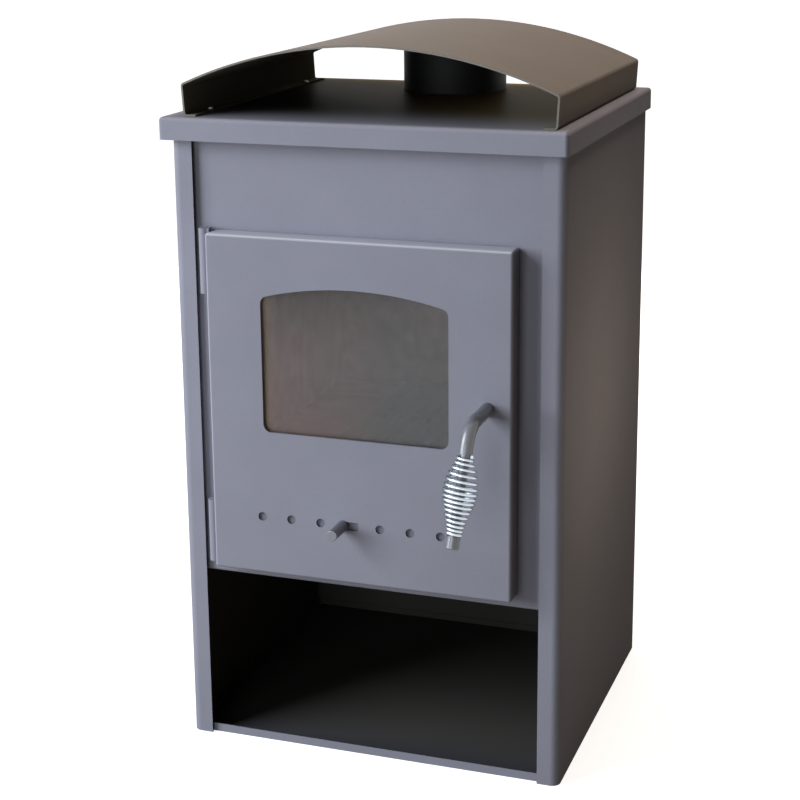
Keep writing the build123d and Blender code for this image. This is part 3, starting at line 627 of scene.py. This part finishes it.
# Flat gasket tapes, their cut edges rounded by the last number
tapeEdge = {
    "weld": 0.000002,
    "corner": 50,
    "steps": 3,
    "crease": 80,
    "tapes": [
        ("windowTape", "window_gasket", "door", 0.0005),
        ("flueSeal", "flue_seal", "casing", 0.0007),
    ],
}


def roundedCopy(node, width):
    shape = bmesh.new()
    shape.from_mesh(nodes[node].data)
    bmesh.ops.remove_doubles(shape, verts=shape.verts, dist=tapeEdge["weld"])
    bmesh.ops.recalc_face_normals(shape, faces=shape.faces)
    corner = math.radians(tapeEdge["corner"])
    sharp = [edge for edge in shape.edges if edge.calc_face_angle(0) > corner]
    bmesh.ops.bevel(shape, geom=sharp, offset=width, offset_type="OFFSET", affect="EDGES",
                    segments=tapeEdge["steps"], profile=0.5, material=-1, clamp_overlap=True)
    return shape


for name, node, body, width in tapeEdge["tapes"]:
    tape = newPiece(name, roundedCopy(node, width), body, "gasket", tapeEdge["crease"])
    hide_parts(node)
print("gasket tapes")


# Hex flange screws of the back panel and the canopy feet
screwSize = {
    "flange": 0.004,
    "flangeTop": 0.0034,
    "flangeHeight": 0.0008,
    "flangeSides": 28,
    "hex": 0.0031,
    "height": 0.0022,
    "edge": 0.0003,
    "edgeSteps": 2,
    "shank": 0.002,
    "shankDepth": 0.003,
    "shankSides": 16,
    "crease": 35,
}


def screwSolid(shape, sides, foot, top, low, high):
    made = bmesh.ops.create_cone(shape, cap_ends=True, segments=sides, radius1=foot,
                                 radius2=top, depth=high - low)
    bmesh.ops.translate(shape, verts=made["verts"], vec=(0, 0, (low + high) / 2))
    return made["verts"]


def flangeScrew(shape, spot, turned):
    flangeHeight, height = screwSize["flangeHeight"], screwSize["height"]
    hexagon, shank = screwSize["hex"], screwSize["shank"]
    flange = screwSolid(shape, screwSize["flangeSides"], screwSize["flange"],
                        screwSize["flangeTop"], 0, flangeHeight)
    head = screwSolid(shape, 6, hexagon, hexagon, flangeHeight, height)
    stem = screwSolid(shape, screwSize["shankSides"], shank, shank, -screwSize["shankDepth"], 0)
    crown = [vert for vert in head if vert.co.z > height - screwSize["edge"]]
    rims = {edge for vert in crown for edge in vert.link_edges if edge.other_vert(vert) in crown}
    bmesh.ops.transform(shape, matrix=Matrix.Translation(spot) @ turned,
                        verts=flange + head + stem)
    bmesh.ops.bevel(shape, geom=list(rims), offset=screwSize["edge"], offset_type="OFFSET",
                    affect="EDGES", segments=screwSize["edgeSteps"], profile=0.5, material=-1)


def screwRow(name, node, turned, rows):
    low, high = nodeBox(node)
    edge = screwSize["flange"]
    up = turned @ Vector((0, 0, 1))
    face = high - up * screwSize["height"]
    shape = bmesh.new()
    for x in (low.x + edge, high.x - edge):
        for row in range(rows):
            share = row / (rows - 1)
            if up.z > up.y:
                spot = Vector((x, low.y + edge + share * (high.y - low.y - 2 * edge), face.z))
            else:
                spot = Vector((x, face.y, low.z + edge + share * (high.z - low.z - 2 * edge)))
            flangeScrew(shape, spot, turned)
    piece = newPiece(name, shape, "casing", slotOf[node], screwSize["crease"])
    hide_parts(node)


screwRow("backScrewHeads", "back_screws", Matrix.Rotation(-math.pi / 2, 4, "X"), 5)
screwRow("canopyScrewHeads", "canopy_screws", Matrix.Identity(4), 2)
print("screws")


# Studio: white surroundings, a pale floor, broad cool light from the left
# and dim warm light from above, behind and close to the right side
studio = {
    "white": (1, 1, 1),
    "ambient": (0.024, 0.019, 0.012),
    "floor": (0.6, 0.6, 0.6),
    "floorBounce": (0.2, 0.175, 0.14),
    "floorRough": 0.9,
    "floorGlow": (0.75, 1.0),
    "glowReach": (0.55, 1.5),
    "floorSize": 60,
}
lamps = {
    "keyLight": {
        "place": (-1.85, -1.5, 1.3),
        "aim": (0, -0.19, 0.4),
        "size": 1.7,
        "power": 93,
        "colour": (0.9, 0.94, 1.0),
        "glint": True,
    },
    "frontLight": {
        "place": (-0.2, -2.5, 0.45),
        "aim": (0, -0.19, 0.4),
        "size": 1.0,
        "power": 13,
        "colour": (0.92, 0.95, 1.0),
        "glint": True,
    },
    "topLight": {
        "place": (0.46, 0.1, 2.6),
        "aim": (0, 0, 0.75),
        "size": 0.9,
        "power": 26,
        "colour": (1.0, 0.82, 0.66),
        "glint": False,
    },
    "sideLight": {
        "place": (0.46, -0.04, 0.4),
        "aim": (0.2, -0.04, 0.4),
        "size": 0.2,
        "power": 0.22,
        "colour": (1.0, 0.79, 0.56),
        "glint": False,
    },
    "backLight": {
        "place": (-0.5, 2.3, 0.9),
        "aim": (0, 0.19, 0.5),
        "size": 1.2,
        "power": 34,
        "colour": (1.0, 0.9, 0.76),
        "glint": False,
    },
}


def backdropRay(tree):
    path = addNode(tree, "ShaderNodeLightPath").outputs
    seen = sums(tree, "MAXIMUM", path["Is Camera Ray"], path["Is Glossy Ray"])
    return sums(tree, "MAXIMUM", seen, path["Is Transmission Ray"])


world = bpy.data.worlds.new("studio")
scene.world = world
world.use_nodes = True
tree = world.node_tree
dim = tree.nodes["Background"]
feed(tree, dim, {"Color": studio["ambient"]})
white = addNode(tree, "ShaderNodeBackground", {"Color": studio["white"], "Strength": 1.0})
mixed = {0: backdropRay(tree), 1: dim.outputs[0], 2: white.outputs[0]}
surround = addNode(tree, "ShaderNodeMixShader", mixed)
feed(tree, tree.nodes["World Output"], {"Surface": surround.outputs[0]})

floorLook, tree, shader = newMaterial("paleFloor")
seen = backdropRay(tree)
feed(tree, shader, {
    "Base Color": blend(tree, seen, studio["floorBounce"], studio["floor"]),
    "Roughness": studio["floorRough"],
})
away = addNode(tree, "ShaderNodeVectorMath", {0: place(tree)}, operation="LENGTH")
strength = span(tree, away.outputs["Value"], *studio["floorGlow"], studio["glowReach"])
glow = addNode(tree, "ShaderNodeEmission", {"Color": studio["white"], "Strength": strength})
both = addNode(tree, "ShaderNodeAddShader", {0: shader.outputs[0], 1: glow.outputs[0]})
mixed = {0: seen, 1: shader.outputs[0], 2: both.outputs[0]}
pick = addNode(tree, "ShaderNodeMixShader", mixed)
feed(tree, tree.nodes["Material Output"], {"Surface": pick.outputs[0]})

floorShape = bmesh.new()
bmesh.ops.create_grid(floorShape, x_segments=1, y_segments=1, size=studio["floorSize"] / 2)
floorMesh = bpy.data.meshes.new("floor")
floorShape.to_mesh(floorMesh)
floorShape.free()
floorMesh.materials.append(floorLook)
floor = bpy.data.objects.new("floor", floorMesh)
scene.collection.objects.link(floor)

for name, setting in lamps.items():
    lamp = bpy.data.objects.new(name, bpy.data.lights.new(name, "AREA"))
    lamp.data.shape = "RECTANGLE"
    lamp.data.size = setting["size"]
    lamp.data.size_y = setting["size"]
    lamp.data.energy = setting["power"]
    lamp.data.color = setting["colour"]
    lamp.visible_camera = False
    lamp.visible_glossy = setting["glint"]
    back = (Vector(setting["place"]) - Vector(setting["aim"])).to_track_quat("Z", "Y")
    lamp.matrix_world = Matrix.Translation(setting["place"]) @ back.to_matrix().to_4x4()
    scene.collection.objects.link(lamp)
print("studio")
